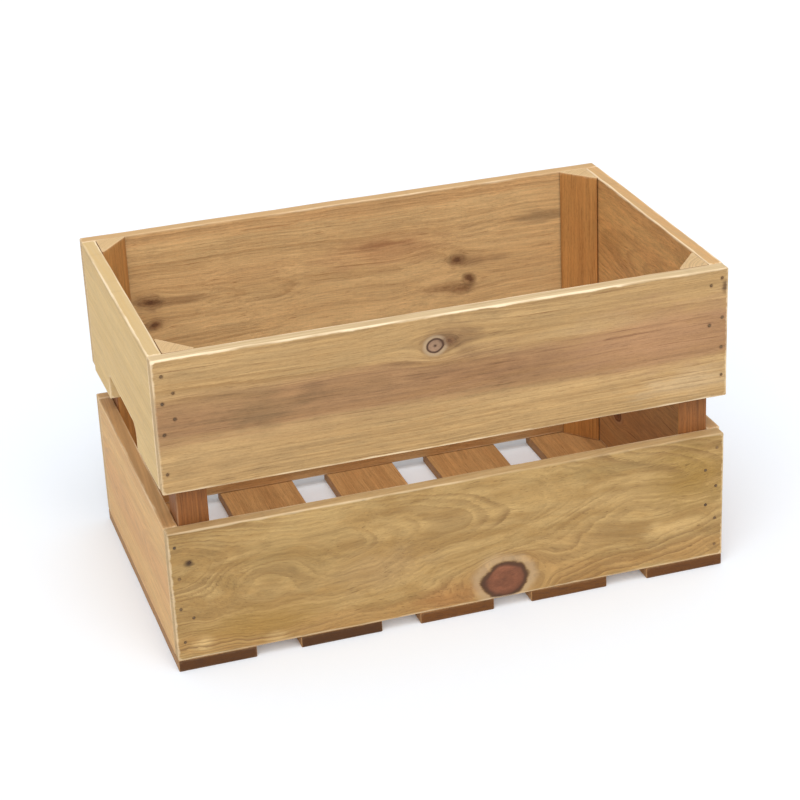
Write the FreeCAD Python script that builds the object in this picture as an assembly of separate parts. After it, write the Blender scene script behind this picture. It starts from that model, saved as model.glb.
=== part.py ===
import FreeCAD, Part
import math
import os

# Slatted wooden apple crate, in millimetres.
# X runs along the crate, Y from front to rear and Z up.
# The origin is on the ground at the centre of the crate's footprint.

# Driving dimensions
crate_length = 440.0
crate_width = 267.0
crate_height = 251.0
board_thickness = 11.0
upper_board_height = 105.0
lower_board_height = 106.0
slat_thickness = 9.0

# The lower long boards are sawn a little short at the right end.
lower_board_shortfall = 1.5

# The rear upper board is a little wider than the other upper boards, and its extra hangs below.
rear_board_extra_height = 3.0

# The left end's upper board gets wider towards the rear, so its lower edge slopes down that way.
left_board_extra_at_rear = 6.0

# Corner posts are right triangles in plan, with the right angle in the crate's corner.
post_leg_along_crate = 25.0
post_leg_across_crate = 30.0

# Bottom slats: left edge from the crate's left end, and width. Widths and gaps vary by a few millimetres.
slat_spans = [(0.0, 60.0), (94.0, 64.0), (188.0, 60.0), (278.0, 63.0), (374.0, 64.5)]

# Hand notch, cut up from the lower edge of each upper end board, a little behind the middle
notch_length = 104.0
notch_height = 18.0
notch_corner_radius = 9.0
notch_offset_to_rear = 6.0

# Nails: shank and head, with the head driven just under the surface
nail_length = 25.0
nail_shank_radius = 0.6
nail_head_radius = 1.2
nail_head_thickness = 0.6
nail_head_depth = 0.2

# Nail places on a long board: distance in from the board's end, and down from its top edge.
# The first four go into the end board, and the last two into the corner post.
upper_left_nails = [(7.0, 13.0), (6.0, 34.0), (5.5, 58.0), (5.0, 89.0), (14.5, 27.0), (14.0, 47.0)]
upper_right_nails = [(5.0, 8.0), (4.5, 40.0), (5.0, 64.0), (4.5, 87.0), (14.0, 13.0), (15.0, 45.0)]
lower_left_nails = [(5.0, 12.0), (6.5, 38.0), (5.5, 63.0), (6.5, 91.0), (15.0, 26.0), (14.5, 72.0)]
lower_right_nails = [(5.5, 12.0), (6.0, 45.0), (6.5, 73.0), (6.5, 96.0), (15.0, 30.0), (14.5, 60.0)]

# Two nails near each end of a slat, this far in from the slat's long edges
slat_nail_inset = 13.0

# The notch's cutter reaches this far below the board's lower edge at the front.
notch_cutter_overshoot = 8.0

# Places that follow from the driving dimensions
left = -crate_length / 2
right = crate_length / 2
front = -crate_width / 2
rear = crate_width / 2
upper_bottom = crate_height - upper_board_height
rear_upper_height = upper_board_height + rear_board_extra_height
rear_upper_bottom = crate_height - rear_upper_height
lower_top = slat_thickness + lower_board_height
lower_right = right - lower_board_shortfall
inner_left = left + board_thickness
inner_right = right - board_thickness
inner_front = front + board_thickness
inner_rear = rear - board_thickness
end_board_length = crate_width - 2 * board_thickness
lower_board_length = crate_length - lower_board_shortfall

up = FreeCAD.Vector(0, 0, 1)
to_front = FreeCAD.Vector(0, -1, 0)
to_rear = FreeCAD.Vector(0, 1, 0)


def block(low_x, low_y, low_z, size_x, size_y, size_z):
    """A plain block from its lowest corner and its size."""
    return Part.makeBox(size_x, size_y, size_z, FreeCAD.Vector(low_x, low_y, low_z))


def long_board(low_y, bottom, length, height):
    """A board along the front or rear, flush with the crate's left end."""
    return block(left, low_y, bottom, length, board_thickness, height)


def lower_end_board(low_x):
    """The lower board across one end of the crate, between the long boards."""
    return block(low_x, inner_front, slat_thickness, board_thickness, end_board_length, lower_board_height)


def nail(head_centre, inward):
    """A nail whose head lies just under the surface at head_centre, pointing inward."""
    head_top = head_centre + inward * nail_head_depth
    head = Part.makeCylinder(nail_head_radius, nail_head_thickness, head_top, inward)
    shank_length = nail_length - nail_head_thickness
    shank_start = head_top + inward * nail_head_thickness
    shank = Part.makeCylinder(nail_shank_radius, shank_length, shank_start, inward)
    return head.fuse(shank).removeSplitter()


def nail_hole(head_centre, inward):
    """The nail's own shape, with its head's recess open to the surface."""
    recess_depth = nail_head_depth + nail_head_thickness
    recess = Part.makeCylinder(nail_head_radius, recess_depth, head_centre, inward)
    return nail(head_centre, inward).fuse(recess).removeSplitter()


def long_board_nails(left_places, right_places, right_end, top, face_y, inward):
    """Head centre and direction of each nail in one long board, whose outer face is at face_y."""
    centres = [FreeCAD.Vector(left + x, face_y, top - drop) for x, drop in left_places]
    centres += [FreeCAD.Vector(right_end - x, face_y, top - drop) for x, drop in right_places]
    return [(centre, inward) for centre in centres]


def slat_nails(face_y, inward_y):
    """Head centre and direction of each nail driven up through one row of slat ends."""
    nail_y = face_y + inward_y * board_thickness / 2
    places = []
    for start, width in slat_spans:
        for x in (start + slat_nail_inset, start + width - slat_nail_inset):
            places.append((FreeCAD.Vector(left + x, nail_y, 0), up))
    return places


def hand_notch():
    """The cutter for a hand notch, through an end board whose outer face is at x = 0."""
    low = upper_bottom - notch_cutter_overshoot
    top = upper_bottom + notch_height
    near = notch_offset_to_rear - notch_length / 2
    far = notch_offset_to_rear + notch_length / 2
    corner_inset = notch_corner_radius * (1 - math.sqrt(0.5))

    def at(y, z):
        return FreeCAD.Vector(0, y, z)

    near_side_top = at(near, top - notch_corner_radius)
    near_arc_middle = at(near + corner_inset, top - corner_inset)
    near_arc_end = at(near + notch_corner_radius, top)
    far_arc_start = at(far - notch_corner_radius, top)
    far_arc_middle = at(far - corner_inset, top - corner_inset)
    far_side_top = at(far, top - notch_corner_radius)
    edges = [
        Part.LineSegment(at(near, low), near_side_top),
        Part.Arc(near_side_top, near_arc_middle, near_arc_end),
        Part.LineSegment(near_arc_end, far_arc_start),
        Part.Arc(far_arc_start, far_arc_middle, far_side_top),
        Part.LineSegment(far_side_top, at(far, low)),
        Part.LineSegment(at(far, low), at(near, low)),
    ]
    face = Part.Face(Part.Wire([edge.toShape() for edge in edges]))
    return face.extrude(FreeCAD.Vector(board_thickness, 0, 0))


def widening_end_board(low_x, extra_at_rear):
    """An upper end board whose lower edge slopes down towards the rear."""
    top_front = FreeCAD.Vector(low_x, inner_front, crate_height)
    top_rear = FreeCAD.Vector(low_x, inner_rear, crate_height)
    low_rear = FreeCAD.Vector(low_x, inner_rear, upper_bottom - extra_at_rear)
    low_front = FreeCAD.Vector(low_x, inner_front, upper_bottom)
    face = Part.Face(Part.makePolygon([top_front, top_rear, low_rear, low_front, top_front]))
    return face.extrude(FreeCAD.Vector(board_thickness, 0, 0))


def corner_post(corner_x, corner_y, inward_x, inward_y):
    """A triangular post from the slats to the rim, its right angle at (corner_x, corner_y)."""
    corner = FreeCAD.Vector(corner_x, corner_y, slat_thickness)
    along = corner + FreeCAD.Vector(inward_x * post_leg_along_crate, 0, 0)
    across = corner + FreeCAD.Vector(0, inward_y * post_leg_across_crate, 0)
    face = Part.Face(Part.makePolygon([corner, along, across, corner]))
    return face.extrude(FreeCAD.Vector(0, 0, crate_height - slat_thickness))


# Wooden pieces
wood = {
    "front_upper_board": long_board(front, upper_bottom, crate_length, upper_board_height),
    "rear_upper_board": long_board(inner_rear, rear_upper_bottom, crate_length, rear_upper_height),
    "front_lower_board": long_board(front, slat_thickness, lower_board_length, lower_board_height),
    "rear_lower_board": long_board(inner_rear, slat_thickness, lower_board_length, lower_board_height),
}

for side, board_x, extra in (("left", left, left_board_extra_at_rear), ("right", inner_right, 0)):
    notch = hand_notch().translated(FreeCAD.Vector(board_x, 0, 0))
    wood[side + "_end_upper_board"] = widening_end_board(board_x, extra).cut(notch)
    wood[side + "_end_lower_board"] = lower_end_board(board_x)

wood["corner_post_front_left"] = corner_post(inner_left, inner_front, 1, 1)
wood["corner_post_front_right"] = corner_post(inner_right, inner_front, -1, 1)
wood["corner_post_rear_left"] = corner_post(inner_left, inner_rear, 1, -1)
wood["corner_post_rear_right"] = corner_post(inner_right, inner_rear, -1, -1)

for number, (start, width) in enumerate(slat_spans, 1):
    wood["bottom_slat_%d" % number] = block(left + start, front, 0, width, crate_width, slat_thickness)

# Nails, as head centre and direction
upper_nails = (upper_left_nails, upper_right_nails, right, crate_height)
lower_nails = (lower_left_nails, lower_right_nails, lower_right, lower_top)
nail_groups = {
    "front_upper_nails": long_board_nails(*upper_nails, front, to_rear),
    "front_lower_nails": long_board_nails(*lower_nails, front, to_rear),
    "rear_upper_nails": long_board_nails(*upper_nails, rear, to_front),
    "rear_lower_nails": long_board_nails(*lower_nails, rear, to_front),
    "bottom_slat_nails_front": slat_nails(front, 1),
    "bottom_slat_nails_rear": slat_nails(rear, -1),
}

# Each nail has its hole in every wooden piece that it reaches.
holes = [nail_hole(centre, inward) for group in nail_groups.values() for centre, inward in group]
for name, piece in wood.items():
    reached = [hole for hole in holes if hole.BoundBox.intersect(piece.BoundBox)]
    wood[name] = piece.cut(reached) if reached else piece

parts = dict(wood)
for name, group in nail_groups.items():
    parts[name] = Part.makeCompound([nail(centre, inward) for centre, inward in group])

os.makedirs("parts", exist_ok=True)
for name, shape in parts.items():
    shape.exportStep("parts/%s.step" % name)
    print(name, len(shape.Solids), "solids", shape.isValid(), round(shape.Volume / 1000, 2), "cm3")
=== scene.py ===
import math

import bmesh
import bpy
import numpy as np
from mathutils import Matrix, Quaternion, Vector, geometry, noise


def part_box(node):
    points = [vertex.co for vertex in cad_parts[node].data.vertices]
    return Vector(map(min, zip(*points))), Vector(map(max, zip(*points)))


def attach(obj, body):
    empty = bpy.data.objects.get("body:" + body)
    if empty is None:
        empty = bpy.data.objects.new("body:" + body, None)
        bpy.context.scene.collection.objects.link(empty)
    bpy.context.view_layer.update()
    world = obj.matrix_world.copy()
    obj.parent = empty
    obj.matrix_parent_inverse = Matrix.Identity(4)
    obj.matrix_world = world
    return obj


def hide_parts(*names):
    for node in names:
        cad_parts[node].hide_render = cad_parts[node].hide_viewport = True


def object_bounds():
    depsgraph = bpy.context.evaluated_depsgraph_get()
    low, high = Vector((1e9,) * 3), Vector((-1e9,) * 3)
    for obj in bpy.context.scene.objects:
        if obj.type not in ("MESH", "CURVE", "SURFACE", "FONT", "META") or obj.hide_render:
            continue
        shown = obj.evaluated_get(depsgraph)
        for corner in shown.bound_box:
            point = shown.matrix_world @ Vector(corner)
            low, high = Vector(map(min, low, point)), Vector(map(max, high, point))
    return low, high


# Slatted wooden apple crate. Lengths in the tables and the wood textures are in millimetres,
# and meshes are in metres in the CAD frame: X along the crate, Y front to rear, Z up.
MM = 0.001

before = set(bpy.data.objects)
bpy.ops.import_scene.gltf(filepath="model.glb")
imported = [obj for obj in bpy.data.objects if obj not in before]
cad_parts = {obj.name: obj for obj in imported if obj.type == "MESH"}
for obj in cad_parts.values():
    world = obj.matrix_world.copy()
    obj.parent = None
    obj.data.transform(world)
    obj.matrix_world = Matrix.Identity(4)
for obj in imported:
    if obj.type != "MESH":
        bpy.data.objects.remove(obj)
cad_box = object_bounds()
crate_low, crate_high = cad_box

X, Y, Z = Vector((1, 0, 0)), Vector((0, 1, 0)), Vector((0, 0, 1))

# Each piece's own axes: along its length, across its width, and out through its face.
FACING = {
    "front": (X, Z, -Y),
    "rear": (-X, Z, Y),
    "left": (-Y, Z, -X),
    "right": (Y, Z, X),
    "down": (Y, X, -Z),
    "up": (X, Y, Z),
}

# Mesh fineness: the spacing of points round an outline, over a face and through the thickness, the
# steps round an arris, and the flat strip just inside it
outline_step = 2.0
face_step = 3.2
side_layer_step = 2.6
post_layer_step = 3.5
round_steps = 3
flat_margin = 0.35

# Sawn wood: the rounding of an outline's corners, how far the ends and edges are drawn in, and how
# chipped the arrises are, from 0 to 1
plan_corner_radius = 1.1
edge_draw_in = 0.25
arris_chipping = 0.5

# Nails. Vertices nearer than nail_spacing belong to one nail, and far_from_nails is the distance given
# to wood with no nail near it. A head lies nail_sink deep, and each nail leans by a slope of about
# nail_lean.
nail_ring_points = 14
nail_sink = 0.35
nail_spacing = 4.0
far_from_nails = 9.0
nail_lean = 0.04
nail_turns = 20


def nail_places(node, across_axes):
    """The centre line of each nail in a CAD node, as points on the two axes across the nails."""
    points = np.array([v.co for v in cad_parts[node].data.vertices])[:, across_axes] / MM
    groups = []
    for point in points:
        for group in groups:
            if np.linalg.norm(group[0] - point) < nail_spacing:
                group.append(point)
                break
        else:
            groups.append([point])
    return [(np.min(g, 0) + np.max(g, 0)) / 2 for g in groups]


def head_radius(node, across_axes):
    """The radius of the nail heads in a CAD node, in millimetres."""
    points = np.array([v.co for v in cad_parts[node].data.vertices])[:, across_axes] / MM
    places = nail_places(node, across_axes)
    return max(np.min([np.linalg.norm(p - place) for place in places]) for p in points)


nail_head_radius = head_radius("front_upper_nails", (0, 2))
nail_ring_radii = [nail_head_radius * share for share in (0.4, 0.75, 1.02, 1.2, 1.7, 2.4, 3.4)]


# ---------------------------------------------------------------- shapes

def unit(vector):
    return vector / np.linalg.norm(vector)


def rounded_outline(corners, step):
    """Points anticlockwise round a polygon of (a, b, radius) corners, each corner rounded."""
    places = [np.array(corner[:2], float) for corner in corners]
    pieces = []
    for index, (a, b, radius) in enumerate(corners):
        corner = places[index]
        back = unit(places[index - 1] - corner)
        ahead = unit(places[(index + 1) % len(corners)] - corner)
        turn = math.pi - math.acos(np.clip(back @ ahead, -1, 1))
        reach = radius * math.tan(turn / 2)
        middle = corner + unit(back + ahead) * radius / math.cos(turn / 2)
        start = corner + back * reach - middle
        end = corner + ahead * reach - middle
        from_angle = math.atan2(start[1], start[0])
        sweep = math.atan2(end[1], end[0]) - from_angle
        sweep = (sweep + math.pi) % (2 * math.pi) - math.pi
        count = max(4, int(abs(sweep) * radius / 1.2) + 1)
        angles = from_angle + sweep * np.linspace(0, 1, count)
        pieces.append(middle + radius * np.stack([np.cos(angles), np.sin(angles)], 1))
    points = []
    for index, arc in enumerate(pieces):
        following = pieces[(index + 1) % len(pieces)]
        points.extend(arc)
        length = np.linalg.norm(following[0] - arc[-1])
        count = max(1, round(length / step))
        points.extend(arc[-1] + (following[0] - arc[-1]) * i / count for i in range(1, count))
    return np.array(points)


def inward_normals(loop):
    along = np.roll(loop, -1, 0) - np.roll(loop, 1, 0)
    along /= np.linalg.norm(along, axis=1)[:, None]
    return np.stack([-along[:, 1], along[:, 0]], 1)


def place_in_loop(points, loop):
    """For each point, whether it is inside the loop, and its distance from the loop's line."""
    start, end = loop[None], np.roll(loop, -1, 0)[None]
    run = end - start
    offset = points[:, None] - start
    share = np.clip((offset * run).sum(2) / (run ** 2).sum(2), 0, 1)
    distance = np.linalg.norm(offset - run * share[..., None], axis=2).min(1)
    above = start[..., 1] > points[:, None, 1]
    crosses = above != (end[..., 1] > points[:, None, 1])
    rise = np.where(run[..., 1] == 0, 1, run[..., 1])
    cross_at = start[..., 0] + (points[:, None, 1] - start[..., 1]) * run[..., 0] / rise
    inside = (crosses & (points[:, None, 0] < cross_at)).sum(1) % 2 == 1
    return inside, distance


def filled(loop, extra):
    """Triangles that fill the loop through the extra points, as indices into loop then extra."""
    points = [Vector(p) for p in np.concatenate([loop, extra])]
    made = geometry.delaunay_2d_cdt(points, [], [list(range(len(loop)))], 1, 1e-7)
    original = [origins[0] for origins in made[3]]
    return [[original[v] for v in face] for face in made[2]]


def waves(points, scale, seed):
    """Smooth noise from about -1 to 1 at each point."""
    return np.array([noise.noise(Vector(p) * scale + Vector((seed, seed * 1.7, 0))) for p in points])


def arris_radius(loop, corners, seed):
    """How far the edge is rounded at each point of the loop, with small chips where it is knocked."""
    to_corner = np.min([np.linalg.norm(loop - np.array(c[:2]), axis=1) for c in corners], 0)
    slow = waves(np.pad(loop, ((0, 0), (0, 1))), 0.035, seed)
    chips = np.maximum(waves(np.pad(loop, ((0, 0), (0, 1))), 0.11, seed + 31) - 0.42, 0)
    free = np.clip((to_corner - 3) / 6, 0, 1)
    return 0.5 + (0.18 * slow + 0.1 + 3.2 * arris_chipping * chips) * free


def slab(name, centre, axes, corners, thickness, fibres, seed, nails=(), layer_step=side_layer_step):
    """A sawn piece of wood: an outline in its first two axes, with thickness along the third.
    fibres is the order of its axes as along, across and through the grain. The nails' places are
    on its high face. The attributes arris, side and nail hold each point's distance from an arris,
    whether it is on an edge or end, and its distance from a nail."""
    outline = rounded_outline(corners, outline_step)
    inward = inward_normals(outline)
    half = thickness / 2
    radii = {side: arris_radius(outline, corners, seed + 5 * side) for side in (-1, 1)}

    def level(inset, height):
        return np.column_stack([outline + inward * inset[:, None], height])

    loops, edge_distance, side_share = [], [], []
    flat = {side: radii[side] + flat_margin for side in (-1, 1)}
    angles = [math.pi / 2 * step / round_steps for step in range(round_steps + 1)]
    none = np.zeros(len(outline))
    loops.append(level(flat[-1], none - half))
    edge_distance.append(none + flat_margin)
    side_share.append(none)
    for angle in reversed(angles):
        loops.append(level(radii[-1] * (1 - math.cos(angle)), -half + radii[-1] * (1 - math.sin(angle))))
        edge_distance.append(none)
        side_share.append(none + math.cos(angle))
    count = max(1, round(thickness / layer_step))
    side_low, side_high = -half + radii[-1], half - radii[1]
    to_corner = np.min([np.linalg.norm(outline - np.array(c[:2]), axis=1)
                        for c in corners if c[2] <= plan_corner_radius], 0)
    for step in range(1, count):
        height = side_low + (side_high - side_low) * step / count
        loops.append(level(none, height))
        to_face = np.minimum(height + half, half - height)
        edge_distance.append(np.minimum(to_face, to_corner))
        side_share.append(none + 1)
    for angle in angles:
        loops.append(level(radii[1] * (1 - math.cos(angle)), half - radii[1] * (1 - math.sin(angle))))
        edge_distance.append(none)
        side_share.append(none + math.cos(angle))
    loops.append(level(flat[1], none + half))
    edge_distance.append(none + flat_margin)
    side_share.append(none)

    size = len(outline)
    points = np.concatenate(loops)
    arris = np.concatenate(edge_distance)
    on_side = np.concatenate(side_share)
    nail_distance = np.full(len(points), far_from_nails)
    faces = []
    for ring in range(len(loops) - 1):
        for i in range(size):
            j = (i + 1) % size
            faces.append((ring * size + i, ring * size + j, (ring + 1) * size + j, (ring + 1) * size + i))

    nails = np.array(nails, float).reshape(-1, 2)

    def from_nails(places):
        return np.min([np.linalg.norm(places - nail, axis=1) for nail in nails], 0)

    low, high = outline.min(0), outline.max(0)
    random = np.random.default_rng(seed)
    for side, ring in ((-1, 0), (1, len(loops) - 1)):
        rim = loops[ring][:, :2]
        grid = np.stack(np.meshgrid(np.arange(low[0], high[0], face_step),
                                    np.arange(low[1], high[1], face_step)), -1).reshape(-1, 2)
        grid = grid + random.uniform(-0.25, 0.25, grid.shape) * face_step
        nailed = side > 0 and len(nails)
        if nailed:
            grid = grid[from_nails(grid) > nail_ring_radii[-1] + 1]
            turns = np.linspace(0, 2 * math.pi, nail_ring_points, endpoint=False)
            circle = np.stack([np.cos(turns), np.sin(turns)], 1)
            grid = np.concatenate([grid, nails] + [n + circle * r for n in nails for r in nail_ring_radii])
        inside, distance = place_in_loop(grid, rim)
        keep = inside & (distance > 0.45 * face_step)
        if nailed:
            near_nail = from_nails(grid) < nail_ring_radii[-1] + 0.1
            keep |= inside & near_nail & (distance > 0.3)
        grid = grid[keep]
        _, from_outline = place_in_loop(grid, outline)
        start = len(points)
        for face in filled(rim, grid):
            face = [ring * size + v if v < size else start + v - size for v in face]
            faces.append(face if side > 0 else face[::-1])
        points = np.concatenate([points, np.column_stack([grid, np.full(len(grid), side * half)])])
        arris = np.concatenate([arris, from_outline])
        on_side = np.concatenate([on_side, np.zeros(len(grid))])
        to_nail = np.full(len(grid), far_from_nails)
        if nailed:
            to_nail = np.minimum(to_nail, from_nails(grid))
        nail_distance = np.concatenate([nail_distance, to_nail])

    grain = points[:, fibres].copy()
    points = weathered(points, half, low, high, seed)
    dent = np.clip(2 - nail_distance / nail_head_radius, 0, 1)
    dent = 0.12 * dent * dent + np.where(nail_distance < 1.1 * nail_head_radius, nail_sink, 0)
    points[:, 2] -= dent

    to_frame = Matrix((axes[0], axes[1], axes[2])).transposed()
    placed = points @ np.array(to_frame).T * MM + np.array(centre)
    mesh = bpy.data.meshes.new(name)
    mesh.from_pydata(placed.tolist(), [], faces)
    mesh.polygons.foreach_set("use_smooth", [True] * len(mesh.polygons))
    mesh.attributes.new("grain", "FLOAT_VECTOR", "POINT").data.foreach_set("vector", grain.ravel())
    for key, values in (("arris", arris), ("side", on_side), ("nail", nail_distance)):
        mesh.attributes.new(key, "FLOAT", "POINT").data.foreach_set("value", values)
    mesh.validate()
    piece = bpy.data.objects.new(name, mesh)
    bpy.context.scene.collection.objects.link(piece)
    return piece


def weathered(points, half, low, high, seed):
    """The same points, with the slow unevenness of sawn wood. Everything moves inwards."""
    points = points.copy()
    ripple = waves(points * np.array([0.5, 1.0, 0.3]), 0.045, seed)
    points[:, 2] -= np.sign(points[:, 2]) * (0.12 + 0.1 * ripple) * (np.abs(points[:, 2]) > 0.5 * half)
    middle = (low + high) / 2
    for axis in (0, 1):
        other = points[:, [1 - axis]]
        wander = waves(np.column_stack([other, points[:, 2] * 0.2, other * 0]), 0.02, seed + 3 + axis)
        reach = (points[:, axis] - middle[axis]) / ((high - low)[axis] / 2)
        points[:, axis] -= np.sign(reach) * np.abs(reach) ** 8 * edge_draw_in * (1 + wander)
    return points


# ---------------------------------------------------------------- shader arithmetic

class Field:
    """A number that varies over a surface. Arithmetic on it adds nodes to its shader."""

    def __init__(self, shader, socket):
        self.shader = shader
        self.socket = socket

    def __add__(self, other):
        return self.shader.math("ADD", self, other)

    def __sub__(self, other):
        return self.shader.math("SUBTRACT", self, other)

    def __rsub__(self, other):
        return self.shader.math("SUBTRACT", other, self)

    def __mul__(self, other):
        return self.shader.math("MULTIPLY", self, other)

    def __truediv__(self, other):
        return self.shader.math("DIVIDE", self, other)

    def __pow__(self, other):
        return self.shader.math("POWER", self, other)

    __radd__ = __add__

    def step(self, low, high):
        """A smooth step from 0 at low to 1 at high; low may be the larger."""
        node = self.shader.add("ShaderNodeMapRange", interpolation_type="SMOOTHSTEP")
        self.shader.feed(node.inputs["Value"], self)
        self.shader.feed(node.inputs["From Min"], low)
        self.shader.feed(node.inputs["From Max"], high)
        return Field(self.shader, node.outputs["Result"])


class Shader:
    """One node material, built with short calls."""

    def __init__(self, name):
        self.material = bpy.data.materials.new(name)
        self.material.use_nodes = True
        self.tree = self.material.node_tree
        self.tree.nodes.clear()

    def add(self, kind, **settings):
        node = self.tree.nodes.new(kind)
        for key, value in settings.items():
            setattr(node, key, value)
        return node

    def feed(self, socket, value):
        if isinstance(value, Field):
            value = value.socket
        if isinstance(value, bpy.types.NodeSocket):
            self.tree.links.new(value, socket)
        else:
            socket.default_value = value

    def math(self, operation, *values):
        node = self.add("ShaderNodeMath", operation=operation)
        for socket, value in zip(node.inputs, values):
            self.feed(socket, value)
        return Field(self, node.outputs[0])

    def attribute(self, name, output="Fac"):
        node = self.add("ShaderNodeAttribute", attribute_name=name)
        return node.outputs[output]

    def split(self, vector):
        node = self.add("ShaderNodeSeparateXYZ")
        self.feed(node.inputs[0], vector)
        return [Field(self, output) for output in node.outputs]

    def noise(self, x, y, z, detail=2.0, roughness=0.5):
        """Noise from 0 to 1 about 0.5, read at the point (x, y, z)."""
        place = self.add("ShaderNodeCombineXYZ")
        for socket, value in zip(place.inputs, (x, y, z)):
            self.feed(socket, value)
        node = self.add("ShaderNodeTexNoise", noise_dimensions="3D")
        self.feed(node.inputs["Vector"], place.outputs[0])
        node.inputs["Scale"].default_value = 1.0
        node.inputs["Detail"].default_value = detail
        node.inputs["Roughness"].default_value = roughness
        return Field(self, node.outputs["Fac"])

    def random(self, value):
        node = self.add("ShaderNodeTexWhiteNoise", noise_dimensions="1D")
        self.feed(node.inputs["W"], value)
        return Field(self, node.outputs["Value"])

    def mix(self, share, first, second, blend="MIX"):
        node = self.add("ShaderNodeMix", data_type="RGBA", blend_type=blend)
        for index, value in ((0, share), (6, first), (7, second)):
            self.feed(node.inputs[index], value)
        return node.outputs[2]

    def finish(self, colour, roughness, height, **constants):
        """Ends the material with one shader. height is in millimetres."""
        bump = self.add("ShaderNodeBump")
        bump.inputs["Strength"].default_value = 1.0
        bump.inputs["Distance"].default_value = MM
        self.feed(bump.inputs["Height"], height)
        shader = self.add("ShaderNodeBsdfPrincipled")
        self.feed(shader.inputs["Base Color"], colour)
        self.feed(shader.inputs["Roughness"], roughness)
        self.feed(shader.inputs["Normal"], bump.outputs["Normal"])
        for key, value in constants.items():
            shader.inputs[key.replace("_", " ")].default_value = value
        output = self.add("ShaderNodeOutputMaterial")
        self.tree.links.new(shader.outputs[0], output.inputs["Surface"])
        return self.material


def tint(red, green, blue):
    """A screen colour from 0 to 255 as the linear colour that a shader takes."""
    linear = [((v / 255 + 0.055) / 1.055) ** 2.4 for v in (red, green, blue)]
    return (*linear, 1.0)


# ---------------------------------------------------------------- wood

bark = tint(70, 44, 28)
cream = tint(246, 222, 184)
# The greyish tint of a darker band on a board's face just under its top rim
under_rim_darkening = tint(150, 128, 102)
oiled_wood = tint(150, 116, 74)

# What a piece of wood looks like unless its own table says otherwise. Colours are from 0 to 255.
# early and late are the wood of the start and end of each year, and blotch is its darker patches.
# pith is where the tree's middle lay, across the board and out through its face from the board's
# middle, and ring is the width of a year. sway, curl and swell bend the fibres, and tilt turns them
# out of the board's face. contrast is how strong the rings are, and texture the fibres.
# end and edge are the colours of the sawn ends and edges, and each share is how far that shows.
# leg is for a post: its half sizes and the painted shade on its two square faces, which stand in the boards'
# shadow.
plain_look = {
    "early": (186, 152, 108),
    "late": (146, 108, 68),
    "blotch": (160, 126, 84),
    "blotchiness": 0.5,
    "bands": (),
    "marks": (),
    "knots": (),
    "swirls": (),
    "pith": (5.0, -40.0),
    "ring": 3.0,
    "sway": 6.0,
    "curl": 0.8,
    "swell": 8.0,
    "tilt": 0.02,
    "contrast": 0.5,
    "texture": 1.0,
    "patch_length": 1.0,
    "leg": None,
    "end": (212, 180, 134),
    "end_share": 0.7,
    "end_tear": 0.0,
    "edge": (198, 164, 118),
    "edge_share": 0.6,
    "wear": 0.45,
    "rim_wear": 0.0,
    "stain": 0.5,
}

# Colour inside the knot, how strong its dark ring, dark centre and stained surround are, how
# ragged its outline is, and the share of its radius where its colour starts to fade
knot_kinds = {
    "big": ((122, 74, 50), 0.85, 0.15, 0.2, 0.5, 0.88),
    "ring": ((138, 108, 84), 0.95, 0.95, 0.7, 0.45, 0.88),
    "red": ((150, 98, 64), 0.5, 0.3, 0.4, 0.8, 0.8),
    "smear": ((124, 86, 54), 0.0, 0.35, 0.45, 3.0, 0.1),
}


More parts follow.
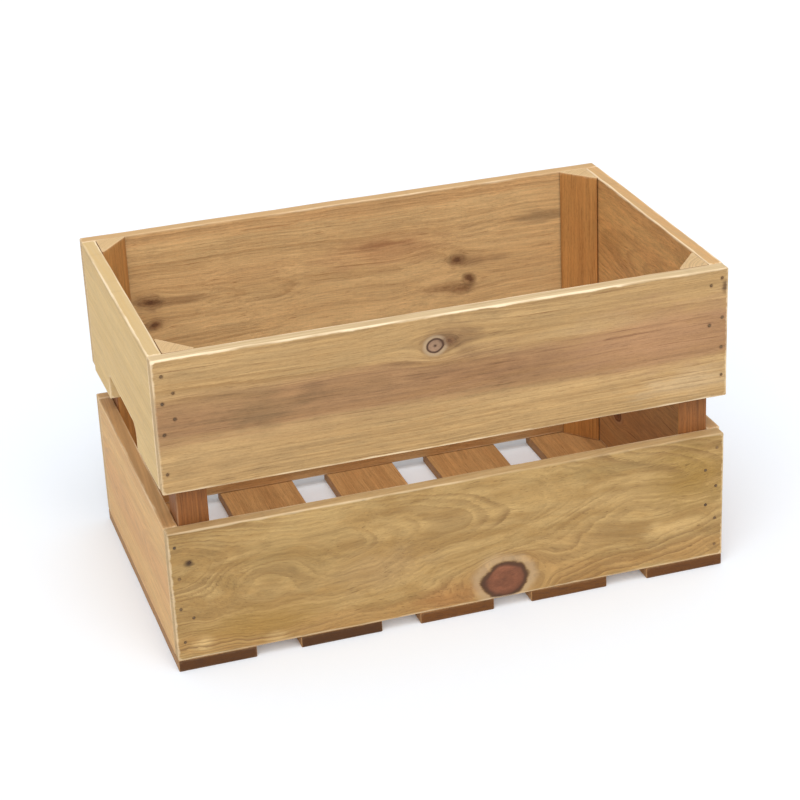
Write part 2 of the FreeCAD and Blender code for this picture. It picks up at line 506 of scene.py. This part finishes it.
class Pine(Shader):
    """Oiled, sawn softwood, solid through the board: growth rings round a pith line, pushed aside
    by knots. The attribute grain holds each point's place along, across and through the fibres."""

    def __init__(self, name, half_length, half_width, seed, **changes):
        super().__init__(name)
        self.look = {**plain_look, **changes}
        self.seed = seed
        self.half_length, self.half_width = half_length, half_width
        self.along, self.across, self.through = self.split(self.attribute("grain", "Vector"))
        self.arris = Field(self, self.attribute("arris"))
        self.side = Field(self, self.attribute("side"))
        self.nail = Field(self, self.attribute("nail"))

    def varied(self, along_scale, across_scale, offset, detail=2.0, roughness=0.5):
        """Noise stretched along the fibres as they run, given in waves for each millimetre."""
        return self.noise(self.along * along_scale, self.height * across_scale,
                          self.depth * across_scale + (self.seed + offset), detail, roughness)

    def oval(self, at_along, at_across, long, tall, wobble):
        """Distance from a place, as 1 on an oval of that half length and half height about it."""
        from_along = (self.along - at_along + self.through * 0.12) / long
        from_across = (self.across - at_across) / tall
        return (from_along ** 2 + from_across ** 2) ** 0.5 + wobble

    def bend_fibres(self):
        """Where each point's fibre would lie across and through a straight-grained board."""
        look, along, across, through, seed = self.look, self.along, self.across, self.through, self.seed
        sway = self.noise(along * 0.006, across * 0.012, through * 0.012 + seed) - 0.5
        curl = self.noise(along * 0.022, across * 0.03, through * 0.03 + (seed + 4.0), detail=3) - 0.5
        swell = self.noise(along * 0.009, across * 0.008, through * 0.01 + (seed + 9.3)) - 0.5
        height = across + sway * look["sway"] + curl * look["curl"]
        self.depth = through + swell * look["swell"] + along * look["tilt"]
        for at_along, at_across, long, tall, rise in look["swirls"]:
            off = self.oval(at_along, at_across, long, tall, curl * 0.5)
            self.depth = self.depth + off.step(1.9, 0.1) * rise
        for at_along, at_across, long, tall, _ in look["knots"]:
            from_across = across - at_across
            spread = ((along - at_along) * 0.6) ** 2 + from_across ** 2
            push = (1.25 * tall) ** 2
            height = height - from_across * push / self.math("MAXIMUM", spread, push)
        self.height = height

    def growth_rings(self):
        """How late in its year the wood at each point grew, from 0 to 1, fading in and out."""
        pith_across, pith_depth = self.look["pith"]
        radius = ((self.height - pith_across) ** 2 + (self.depth - pith_depth) ** 2) ** 0.5
        uneven = self.noise(radius * 0.22, self.seed + 4.1, 0.0, detail=1) * 2.4
        phase = radius / self.look["ring"] + uneven + (self.fibre - 0.5) * 0.55
        age, year = self.math("FRACT", phase), self.math("FLOOR", phase)
        clear = self.varied(0.006, 0.03, 7.7).step(0.38, 0.62) * 0.7 + 0.3
        return age.step(0.2, 0.88) * age.step(1.0, 0.86) * (self.random(year + self.seed) * 0.7 + 0.3) * clear

    def knot(self, colour, radius, kind):
        """The colour with a knot in it, whose outline is where the radius is 1."""
        inside, ring, centre, surround, _, fade = knot_kinds[kind]
        colour = self.mix(radius.step(2.3, 0.9) * surround * 0.6, colour, tint(*inside), "MULTIPLY")
        colour = self.mix(radius.step(1.9, 0.9) * surround * 0.6, colour, tint(*inside))
        growth = self.math("SINE", radius * 17.0 + self.mottle * 9.0) * 0.06
        uneven = growth + self.mottle * 1.6 + self.speck * 0.9 + 0.2
        face = self.mix(1.0, tint(*inside), grey(self, uneven), "MULTIPLY")
        face = self.mix(radius.step(0.34, 0.1) * centre, face, bark)
        colour = self.mix(radius.step(1.7, 1.25) * radius.step(1.0, 1.2) * (0.22 * ring), colour, cream)
        colour = self.mix(radius.step(1.08, fade), colour, face)
        return self.mix(radius.step(0.74, 0.95) * radius.step(1.16, 1.0) * ring, colour, bark)

    def build(self):
        """The finished material."""
        look, along, across, through, seed = self.look, self.along, self.across, self.through, self.seed
        self.bend_fibres()
        self.fibre = self.varied(0.03, 1.5, 0.0, detail=3, roughness=0.65)
        late = self.growth_rings()
        streak = self.varied(0.008, 0.42, 2.2, detail=4, roughness=0.62)
        band_tone = self.varied(0.004 / look["patch_length"], 0.08, 3.3, detail=3)
        self.mottle = self.noise(along * 0.045, across * 0.09, through * 0.09 + (seed + 6.6), detail=5)
        pores = self.noise(along * 0.8, across * 2.6, through * 2.6, detail=2)
        mineral = self.varied(0.009, 0.6, 5.5, detail=2).step(0.64, 0.76)
        dashes = self.varied(0.1, 1.7, 8.8, detail=2).step(0.56, 0.7)
        self.speck = self.noise(along * 0.35, across * 1.1, through * 1.1 + seed, detail=3,
                                roughness=0.7) - 0.5

        tone = (band_tone + (self.mottle - 0.5) * 0.5).step(0.36, 0.66)
        colour = self.mix(tone * look["blotchiness"], tint(*look["early"]), tint(*look["blotch"]))
        for at_across, reach, tinge, strength in look["bands"]:
            off = self.height - at_across + (band_tone - 0.5) * 34.0 + (streak - 0.5) * 16.0
            off = self.math("ABSOLUTE", off)
            colour = self.mix(off.step(reach, reach * 0.3) * strength, colour, tint(*tinge))
        ragged = (self.mottle - 0.5) * 1.3 + (streak - 0.5) * 0.9
        for at_along, at_across, long, tall, tinge, strength in look["marks"]:
            mark = self.oval(at_along, at_across, long, tall, ragged).step(1.15, 0.15)
            colour = self.mix(mark * strength, colour, tint(*tinge))
        colour = self.mix(late * look["contrast"], colour, tint(*look["late"]))
        shade = (streak - 0.5) * 0.75 + (self.fibre - 0.5) * 0.45 + (self.mottle - 0.5) * 0.45
        shade = shade + self.speck * 0.4
        colour = self.mix(1.0, colour, grey(self, shade * look["texture"] + 1.0), "MULTIPLY")
        lines = mineral * 0.45 + dashes * 0.28
        colour = self.mix(lines * look["texture"], colour, tint(*look["late"]), "MULTIPLY")

        knot_groove = None
        slow = self.noise(along * 0.07, across * 0.07, through * 0.07 + (seed + 12.0)) - 0.5
        for at_along, at_across, long, tall, kind in look["knots"]:
            ragged_by = knot_kinds[kind][4]
            wobble = slow * ragged_by + (self.mottle - 0.5 + self.speck * 0.4) * (ragged_by * 0.6)
            radius = self.oval(at_along, at_across, long, tall, wobble)
            colour = self.knot(colour, radius, kind)
            groove = radius.step(0.82, 0.97) * radius.step(1.16, 1.0)
            knot_groove = groove if knot_groove is None else self.math("MAXIMUM", knot_groove, groove)

        # On a post, a painted shade darkens its two square outer faces, which stand in the boards' shadow;
        # the sloping face inside the crate keeps its colour.
        if look["leg"]:
            half_run, half_depth, painted_shade_colour = look["leg"]
            painted_shade_mask = self.math("MAXIMUM", self.math("ABSOLUTE", across).step(half_run - 1.2, half_run - 0.4),
                               self.math("ABSOLUTE", through).step(half_depth - 1.2, half_depth - 0.4))
            colour = self.mix(painted_shade_mask * 0.85, colour, tint(*painted_shade_colour), "MULTIPLY")

        end = (self.half_length - self.math("ABSOLUTE", along)).step(0.42, 0.12)
        torn = (self.noise(across * 0.11, through * 0.8, seed + 21.0, detail=5) - 0.5) * look["end_tear"]
        end_rings = self.mix(late * 0.3 + (pores - 0.5) * 0.6 + torn + 0.05, tint(*look["end"]), bark)
        colour = self.mix(end * look["end_share"], colour, end_rings)
        edge = self.side * (1.0 - end)
        worn_edge = self.mix(streak.step(0.35, 0.7) * 0.5, tint(*look["edge"]), tint(*look["blotch"]))
        colour = self.mix(edge * look["edge_share"], colour, worn_edge)

        scuff = self.noise(along * 0.05, across * 0.3, through * 0.5 + seed, detail=4)
        at_rim = across.step(self.half_width - 4.0, self.half_width - 1.4)
        wear = at_rim * look["rim_wear"] + look["wear"]
        rubbed = self.noise(along * 0.018, across * 0.025, through * 0.3 + (seed + 15.0)).step(0.36, 0.62)
        worn = (self.arris + (scuff - 0.5) * 3.4).step(1.5, 0.0) * wear * (rubbed * 0.75 + 0.25)
        colour = self.mix(worn, colour, cream)
        # A darker greyish band on the face just under the top rim, strongest where the rim is not worn
        under_rim_band = across.step(self.half_width - 6.0, self.half_width - 2.6) * (1.0 - self.side)
        colour = self.mix(under_rim_band * (1.0 - worn) * look["rim_wear"] * scuff.step(0.3, 0.6) * 0.4, colour,
                          under_rim_darkening, "MULTIPLY")
        dirt = self.noise(along * 0.05, across * 0.05, seed + 3.1, detail=4).step(0.62, 0.75) * 0.08
        colour = self.mix(dirt, colour, bark)
        faint = self.noise(along * 0.07, across * 0.07, seed + 1.7).step(0.35, 0.62) * 0.7 + 0.3
        stain = (self.nail + (pores - 0.5) * 1.4).step(2.5, 0.9) * faint * look["stain"]
        colour = self.mix(stain, colour, bark)

        relief = late * 0.05 + (self.fibre - 0.5) * 0.2 + (streak - 0.5) * 0.12 + (pores - 0.5) * end * 0.35
        if knot_groove is not None:
            relief = relief - knot_groove * 0.2
        saw_marks = self.noise(along * 0.5, across * 0.03, seed + 8.0, detail=1) - 0.5
        relief = relief + saw_marks * 0.08
        roughness = 0.66 + (self.fibre - 0.5) * 0.3 - late * 0.08 + end * 0.15
        return self.finish(colour, roughness, relief, Specular_IOR_Level=0.3)


def grey(shader, value):
    """A grey colour of that brightness."""
    node = shader.add("ShaderNodeCombineColor")
    for socket in node.inputs:
        shader.feed(socket, value)
    return node.outputs[0]


# ---------------------------------------------------------------- the crate's pieces

# A painted shade for a post's two square outer faces, which stand in the shadow of the boards
post_face_painted_shade = (176, 152, 142)

# A post has no worn rim, so its rim is put this far out, beyond the wood.
beyond_post = 40.0


def local_box(node, facing):
    """A CAD node's centre, and its size in millimetres along the three axes of that facing."""
    low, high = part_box(node)
    size = high - low
    return (low + high) / 2, [abs(size.dot(axis)) / MM for axis in FACING[facing]]


def rectangle(length, width):
    """The corners of a plain board's outline, about its middle."""
    a, b, radius = length / 2, width / 2, plan_corner_radius
    return [(-a, -b, radius), (a, -b, radius), (a, b, radius), (-a, b, radius)]


def finished(piece, node, material):
    """Puts the material on a piece that stands for a CAD node."""
    piece.data.materials.append(material)
    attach(piece, "root")
    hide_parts(node)


def wood_for(node, facing, seed, knots=(), marks=(), bands=(), swirls=(), **look):
    """Pine for a board. Knots, marks, bands and swirls are placed from the crate's left end, or from
    its front on an end board, and from the ground."""
    centre, (length, width, _) = local_box(node, facing)
    run, _, _ = FACING[facing]
    start = crate_low.x if abs(run.x) > 0.5 else crate_low.y
    at_centre = centre.x if abs(run.x) > 0.5 else centre.y
    sense = run.x + run.y

    def local(x, z):
        return sense * (start - at_centre + x * MM) / MM, z - centre.z / MM

    return Pine(node + "_pine", length / 2, width / 2, seed,
                knots=[(*local(x, z), *rest) for x, z, *rest in knots],
                marks=[(*local(x, z), *rest) for x, z, *rest in marks],
                swirls=[(*local(x, z), *rest) for x, z, *rest in swirls],
                bands=[(z - centre.z / MM, *rest) for z, *rest in bands], **look).build()


def long_board(node, facing, slot, seed, nails_node, **look):
    centre, (length, width, thickness) = local_box(node, facing)
    nails = [Vector((x * MM, centre.y, z * MM)) - centre for x, z in nail_places(nails_node, (0, 2))]
    nails = [(n.dot(FACING[facing][0]) / MM, n.dot(FACING[facing][1]) / MM) for n in nails]
    piece = slab(node + "_wood", centre, FACING[facing], rectangle(length, width), thickness, (0, 1, 2),
                 seed, nails=nails)
    finished(piece, node, wood_for(node, facing, seed, **look))


def end_board(node, facing, seed, notched, **look):
    centre, (length, width, thickness) = local_box(node, facing)
    corners = notched_outline(node, facing, centre) if notched else rectangle(length, width)
    piece = slab(node + "_wood", centre, FACING[facing], corners, thickness, (0, 1, 2), seed)
    finished(piece, node, wood_for(node, facing, seed, **look))


def notched_outline(node, facing, centre):
    """The corners of an end board with its hand notch, read off the CAD node's own vertices."""
    places = np.array([(v.co - centre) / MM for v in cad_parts[node].data.vertices])
    points = places @ np.array([FACING[facing][0], FACING[facing][1]]).T
    low_end, high_end = points[:, 0].min(), points[:, 0].max()
    top = points[:, 1].max()
    low_end_bottom = points[points[:, 0] < low_end + 0.01, 1].min()
    high_end_bottom = points[points[:, 0] > high_end - 0.01, 1].min()
    clear_of_nails = 0.7 * high_end
    notch = points[np.abs(points[:, 0]) < clear_of_nails]
    near, far, notch_top = notch[:, 0].min(), notch[:, 0].max(), notch[:, 1].max()
    near_mouth = notch[notch[:, 0] < near + 0.01, 1].min()
    far_mouth = notch[notch[:, 0] > far - 0.01, 1].min()
    radius = notch[notch[:, 1] > notch_top - 0.01, 0].min() - near
    lip = plan_corner_radius
    return [(low_end, low_end_bottom, lip), (near, near_mouth, lip), (near, notch_top, radius),
            (far, notch_top, radius), (far, far_mouth, lip), (high_end, high_end_bottom, lip),
            (high_end, top, lip), (low_end, top, lip)]


def corner_post(node, seed, **look):
    """A post whose long sloping face looks into the crate. Its outline is seen from above."""
    centre, (run, depth, length) = local_box(node, "up")
    to_left = math.copysign(1, centre.x)
    to_front = math.copysign(1, centre.y)
    corner = (to_left * run / 2, to_front * depth / 2)
    along = (-to_left * run / 2, to_front * depth / 2)
    across = (to_left * run / 2, -to_front * depth / 2)
    corners = [(*place, plan_corner_radius) for place in (corner, along, across)]
    if to_left * to_front < 0:
        corners.reverse()
    piece = slab(node + "_wood", centre, FACING["up"], corners, length, (2, 0, 1), seed,
                 layer_step=post_layer_step)
    # The post's two square faces get a painted shade.
    leg = (run / 2, depth / 2, post_face_painted_shade)
    material = Pine(node + "_pine", length / 2, beyond_post, seed, leg=leg, **look).build()
    finished(piece, node, material)


def bottom_slat(node, seed, nails, **look):
    centre, (length, width, thickness) = local_box(node, "down")
    near = [(y - centre.y / MM, x - centre.x / MM) for x, y in nails
            if abs(x - centre.x / MM) < width / 2]
    piece = slab(node + "_wood", centre, FACING["down"], rectangle(length, width), thickness, (0, 1, 2),
                 seed, nails=near)
    finished(piece, node, Pine(node + "_pine", length / 2, width / 2, seed, **look).build())


# In the boards' tables a place is two numbers, in millimetres: how far it is from the crate's left
# end, or on an end board from its front, and how high it is above the ground.
# knots: place, half length, half height and kind
# marks: place, half length, half height, colour and strength
# bands: height, half height, colour and strength
# swirls: place, half length, half height, and how far the wood is raised through its rings
long_board(
    "front_upper_board", "front", "front_board_wood", 11, "front_upper_nails",
    knots=[(209, 227, 6.6, 5.4, "ring"), (220, 229, 4.4, 3.0, "smear")],
    bands=[(200, 27, (150, 110, 74), 0.85), (157, 13, (180, 144, 94), 0.6)],
    marks=[(222, 231, 30, 15, (124, 90, 60), 0.6), (75, 200, 46, 20, (130, 101, 66), 0.55),
           (45, 215, 60, 14, (158, 122, 80), 0.5), (385, 205, 90, 34, (184, 138, 98), 0.65),
           (410, 163, 60, 13, (208, 176, 132), 0.6), (118, 210, 16, 8, (118, 88, 60), 0.3),
           (60, 163, 90, 14, (172, 138, 92), 0.5), (438, 236, 3.0, 6, (84, 58, 38), 0.8),
           (250, 200, 70, 10, (142, 100, 66), 0.45), (330, 222, 60, 8, (196, 162, 112), 0.5)],
    early=(187, 151, 101), late=(136, 98, 53), blotch=(161, 125, 78), contrast=0.6, pith=(8.0, -34.0),
    sway=6.0, swell=5.0, wear=0.6, rim_wear=0.4, edge=(227, 200, 156), edge_share=0.8)
long_board(
    "front_lower_board", "front", "front_board_wood", 23, "front_lower_nails",
    knots=[(258, 24.5, 17.5, 15.0, "big")],
    bands=[(18, 12, (170, 124, 68), 0.4)],
    swirls=[(78, 66, 44, 20, 15), (352, 62, 46, 15, 10)],
    marks=[(90, 72, 66, 30, (146, 116, 66), 0.35), (160, 55, 50, 22, (162, 128, 86), 0.4),
           (215, 18, 40, 14, (160, 108, 58), 0.65), (64, 28, 60, 18, (154, 116, 52), 0.65),
           (412, 84, 44, 34, (150, 114, 48), 0.65), (340, 102, 60, 8, (152, 122, 72), 0.5),
           (342, 75, 56, 10, (190, 155, 100), 0.6), (398, 41, 34, 8, (206, 170, 112), 0.7),
           (280, 88, 60, 12, (196, 160, 102), 0.5), (100, 106, 100, 7, (200, 166, 108), 0.5),
           (20, 20, 12, 8, (220, 186, 128), 0.6), (76, 14, 12, 5, (216, 180, 122), 0.6),
           (310, 44, 40, 14, (180, 142, 88), 0.5), (15, 89, 4.4, 3.6, (60, 42, 28), 0.95)],
    early=(181, 147, 93), late=(112, 78, 40), blotch=(142, 106, 55), blotchiness=0.6, patch_length=0.55,
    pith=(16.0, -34.0), ring=3.2, tilt=0.13, sway=22.0, curl=13.0, swell=24.0, contrast=0.7, texture=0.8,
    stain=0.15, wear=0.4)
long_board(
    "rear_upper_board", "rear", "rear_board_wood", 37, "rear_upper_nails",
    knots=[(51, 191, 9, 3.8, "smear"), (53, 171, 7, 3.2, "smear"), (313, 187, 7, 4.0, "smear"),
           (324, 168, 4, 3.0, "smear"), (314, 160, 8, 3.0, "smear")],
    marks=[(254, 210, 28, 3.6, (122, 80, 48), 0.8), (72, 189, 32, 5, (136, 98, 62), 0.6),
           (330, 184, 36, 6, (136, 100, 66), 0.55), (392, 213, 36, 7, (140, 114, 82), 0.5),
           (300, 163, 30, 6, (142, 100, 62), 0.5), (250, 205, 70, 18, (188, 134, 90), 0.5),
           (120, 205, 110, 14, (206, 160, 108), 0.4)],
    bands=[(245, 12, (208, 156, 102), 0.4)],
    early=(213, 175, 122), late=(164, 122, 76), blotch=(180, 141, 93), pith=(-10.0, -24.0), tilt=-0.05,
    sway=14.0, curl=3.0, swell=16.0, wear=0.5, rim_wear=0.2, edge=(206, 168, 120))
long_board(
    "rear_lower_board", "rear", "rear_board_wood", 41, "rear_lower_nails",
    knots=[(120, 70, 10, 8.0, "red"), (352, 44, 7, 5.5, "smear")],
    early=(198, 154, 102), late=(150, 108, 66), blotch=(170, 126, 78), tilt=0.06, sway=12.0,
    curl=4.0, swell=14.0)

end_board(
    "left_end_upper_board", "left", 53, True, early=(216, 182, 122), late=(188, 150, 94),
    blotch=(202, 166, 106), contrast=0.25, texture=0.5, pith=(60.0, -70.0), wear=0.6, rim_wear=0.4,
    edge=(216, 188, 142))
end_board(
    "left_end_lower_board", "left", 59, False, early=(217, 174, 114), late=(176, 130, 78),
    blotch=(200, 150, 96), contrast=0.4, tilt=-0.06, texture=0.6, bands=[(60, 24, (208, 156, 104), 0.55)],
    edge=(158, 118, 76), edge_share=0.8)
end_board(
    "right_end_upper_board", "right", 61, True, early=(217, 168, 106), late=(164, 116, 66),
    blotch=(206, 150, 92), contrast=0.45, tilt=0.09, sway=14.0, curl=4.0, rim_wear=0.4)
end_board(
    "right_end_lower_board", "right", 67, False, early=(196, 150, 100), late=(150, 106, 64),
    blotch=(176, 128, 80), bands=[(60, 26, (172, 122, 78), 0.6)], knots=[(188, 52, 8, 6.5, "red")])

post_look = {
    "early": (194, 138, 76), "late": (142, 92, 46), "blotch": (176, 118, 62), "ring": 2.2,
    "pith": (30.0, -26.0), "end": (226, 192, 142), "end_share": 0.85, "edge_share": 0.0, "wear": 0.15,
}
for number, node in enumerate(sorted(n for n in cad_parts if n.startswith("corner_post"))):
    corner_post(node, 71 + 6 * number, **post_look)

slat_nail_places = nail_places("bottom_slat_nails_front", (0, 1))
slat_nail_places += nail_places("bottom_slat_nails_rear", (0, 1))
slat_names = sorted(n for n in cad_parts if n.startswith("bottom_slat_") and "nails" not in n)

# The colour of each slat's sawn ends, from the left
slat_ends = [(88, 52, 20), (80, 47, 18), (110, 66, 24), (110, 67, 25), (102, 61, 23)]
for number, (node, end) in enumerate(zip(slat_names, slat_ends)):
    bottom_slat(node, 101 + 7 * number, slat_nail_places, early=(196, 150, 96), late=(140, 100, 58),
                blotch=(172, 124, 74), end=end, end_share=1.0, end_tear=2.2, edge=(132, 92, 54), wear=0.04,
                swell=10.0, contrast=0.35)


# ---------------------------------------------------------------- nails

def nail_steel(name, oiled):
    """Tarnished steel. oiled is how far the wood's oil and dust hide it, from 0 to 1."""
    s = Shader(name)
    x, y, z = s.split(s.add("ShaderNodeTexCoord").outputs["Object"])
    grain = s.noise(x * 900, y * 900, z * 900, detail=3)
    rust = s.noise(x * 350, y * 350, z * 350, detail=2).step(0.42, 0.62)
    colour = s.mix(rust, tint(96, 78, 60), tint(88, 58, 36))
    colour = s.mix(grain * 0.5, colour, tint(52, 40, 30))
    hidden = s.noise(x * 25, y * 25, z * 25).step(0.36, 0.56) * oiled
    colour = s.mix(hidden, colour, oiled_wood)
    return s.finish(colour, 0.5 + rust * 0.35, grain * 0.05, Metallic=0.4)


def nail_mesh(name, places, outward, face, length):
    """Round-headed nails: a slightly domed head with a rounded rim, and a pointed shank."""
    radius = nail_head_radius - 0.05
    shank = 0.5 * nail_head_radius
    profile = [(0.0, 0.0), (0.5 * radius, -0.02), (0.8 * radius, -0.06), (0.95 * radius, -0.15),
               (radius, -0.28), (0.96 * radius, -0.48), (shank, -0.62), (shank, 3.0 - length),
               (0.55 * shank, 1.2 - length), (0.0, 0.3 - length)]
    side, up = [axis for axis in (X, Y, Z) if abs(axis.dot(outward)) < 0.5]
    points, faces = [], []
    for index, place in enumerate(places):
        lean = Vector((math.sin(index * 2.4), math.cos(index * 1.7), math.sin(index * 3.1))) * nail_lean
        direction = (outward + lean).normalized()
        centre = Vector(place) + outward * (face - nail_sink * MM * (0.75 + 0.2 * math.sin(index * 5.0)))
        start = len(points)
        for r, h in profile:
            for turn in range(nail_turns):
                angle = 2 * math.pi * turn / nail_turns
                ring = side * math.cos(angle) + up * math.sin(angle)
                points.append(centre + ring * r * MM + direction * h * MM)
        for step in range(len(profile) - 1):
            for turn in range(nail_turns):
                following = (turn + 1) % nail_turns
                a, b = start + step * nail_turns + turn, start + step * nail_turns + following
                faces.append((a, b, b + nail_turns, a + nail_turns))
    mesh = bpy.data.meshes.new(name)
    mesh.from_pydata([tuple(p) for p in points], [], faces)
    return mesh


def clean(mesh):
    """Merges the points that meet at each nail's tip and crown, and turns every face outwards."""
    work = bmesh.new()
    work.from_mesh(mesh)
    bmesh.ops.remove_doubles(work, verts=work.verts, dist=1e-6)
    bmesh.ops.recalc_face_normals(work, faces=work.faces)
    work.to_mesh(mesh)
    work.free()
    mesh.polygons.foreach_set("use_smooth", [True] * len(mesh.polygons))


bare_steel = nail_steel("nail_steel", 0.5)
oiled_steel = nail_steel("nail_steel_oiled", 0.9)
for node, outward, steel in (("front_upper_nails", -Y, bare_steel), ("front_lower_nails", -Y, oiled_steel),
                             ("rear_upper_nails", Y, bare_steel), ("rear_lower_nails", Y, oiled_steel),
                             ("bottom_slat_nails_front", -Z, bare_steel),
                             ("bottom_slat_nails_rear", -Z, bare_steel)):
    low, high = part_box(node)
    across = [i for i in range(3) if abs(outward[i]) < 0.5]
    length = max((high - low)[i] for i in range(3) if i not in across) / MM
    face = max(crate_low.dot(outward), crate_high.dot(outward))
    places = []
    for spot in nail_places(node, across):
        place = [0.0, 0.0, 0.0]
        place[across[0]], place[across[1]] = spot[0] * MM, spot[1] * MM
        places.append(place)
    mesh = nail_mesh(node + "_steel", places, outward, face, length)
    clean(mesh)
    piece = bpy.data.objects.new(node + "_steel", mesh)
    bpy.context.scene.collection.objects.link(piece)
    finished(piece, node, steel)


# ---------------------------------------------------------------- floor, light and camera

floor_reach = 40.0


def studio_floor():
    reach = floor_reach
    corners = [(-reach, -reach, 0), (reach, -reach, 0), (reach, reach, 0), (-reach, reach, 0)]
    mesh = bpy.data.meshes.new("floor")
    mesh.from_pydata(corners, [], [(0, 1, 2, 3)])
    floor = bpy.data.objects.new("floor", mesh)
    bpy.context.scene.collection.objects.link(floor)
    s = Shader("floor_white")
    x, y, z = s.split(s.add("ShaderNodeTexCoord").outputs["Object"])
    cloud = s.noise(x * 3, y * 3, 0.0)
    colour = s.mix(cloud, tint(240, 244, 250), tint(243, 247, 252))
    mesh.materials.append(s.finish(colour, 0.8, cloud * 0.02, Specular_IOR_Level=0.2))


def broad_light(name, azimuth, elevation, strength, spread, colour):
    """An even light from one side, as wide as a large softbox. Azimuth 0 is the front, and spread
    is the angle that it fills."""
    a, e = math.radians(azimuth), math.radians(elevation)
    source = Vector((math.sin(a) * math.cos(e), -math.cos(a) * math.cos(e), math.sin(e)))
    data = bpy.data.lights.new(name, "SUN")
    data.energy = strength
    data.angle = math.radians(spread)
    data.color = colour
    lamp = bpy.data.objects.new(name, data)
    lamp.rotation_euler = (-source).to_track_quat("-Z", "Y").to_euler()
    bpy.context.scene.collection.objects.link(lamp)


def studio_world(strength, colour):
    world = bpy.data.worlds.new("studio")
    world.use_nodes = True
    background = world.node_tree.nodes["Background"]
    background.inputs["Color"].default_value = (*colour, 1.0)
    background.inputs["Strength"].default_value = strength
    bpy.context.scene.world = world


def crate_camera():
    """Looks down on the crate from the left of its front, with a slight roll."""
    azimuth, elevation, roll = math.radians(-16.74), math.radians(24.54), math.radians(-2.7)
    distance = 1.797
    centre = (crate_low + crate_high) / 2
    back = Vector((math.sin(azimuth) * math.cos(elevation), -math.cos(azimuth) * math.cos(elevation),
                   math.sin(elevation)))
    data = bpy.data.cameras.new("camera")
    data.sensor_width = 36.0
    data.lens = 102.0
    data.clip_start, data.clip_end = 0.05, 100.0
    camera = bpy.data.objects.new("camera", data)
    camera.location = centre + back * distance
    aim = (-back).to_track_quat("-Z", "Y") @ Quaternion((0, 0, 1), roll)
    camera.rotation_euler = aim.to_euler()
    bpy.context.scene.collection.objects.link(camera)
    bpy.context.scene.camera = camera


studio_floor()
studio_world(0.7, (0.95, 0.975, 1.0))
broad_light("key_light", -14, 52, 2.05, 60, (1.0, 0.995, 0.985))
crate_camera()
bpy.context.scene.view_settings.view_transform = "Standard"
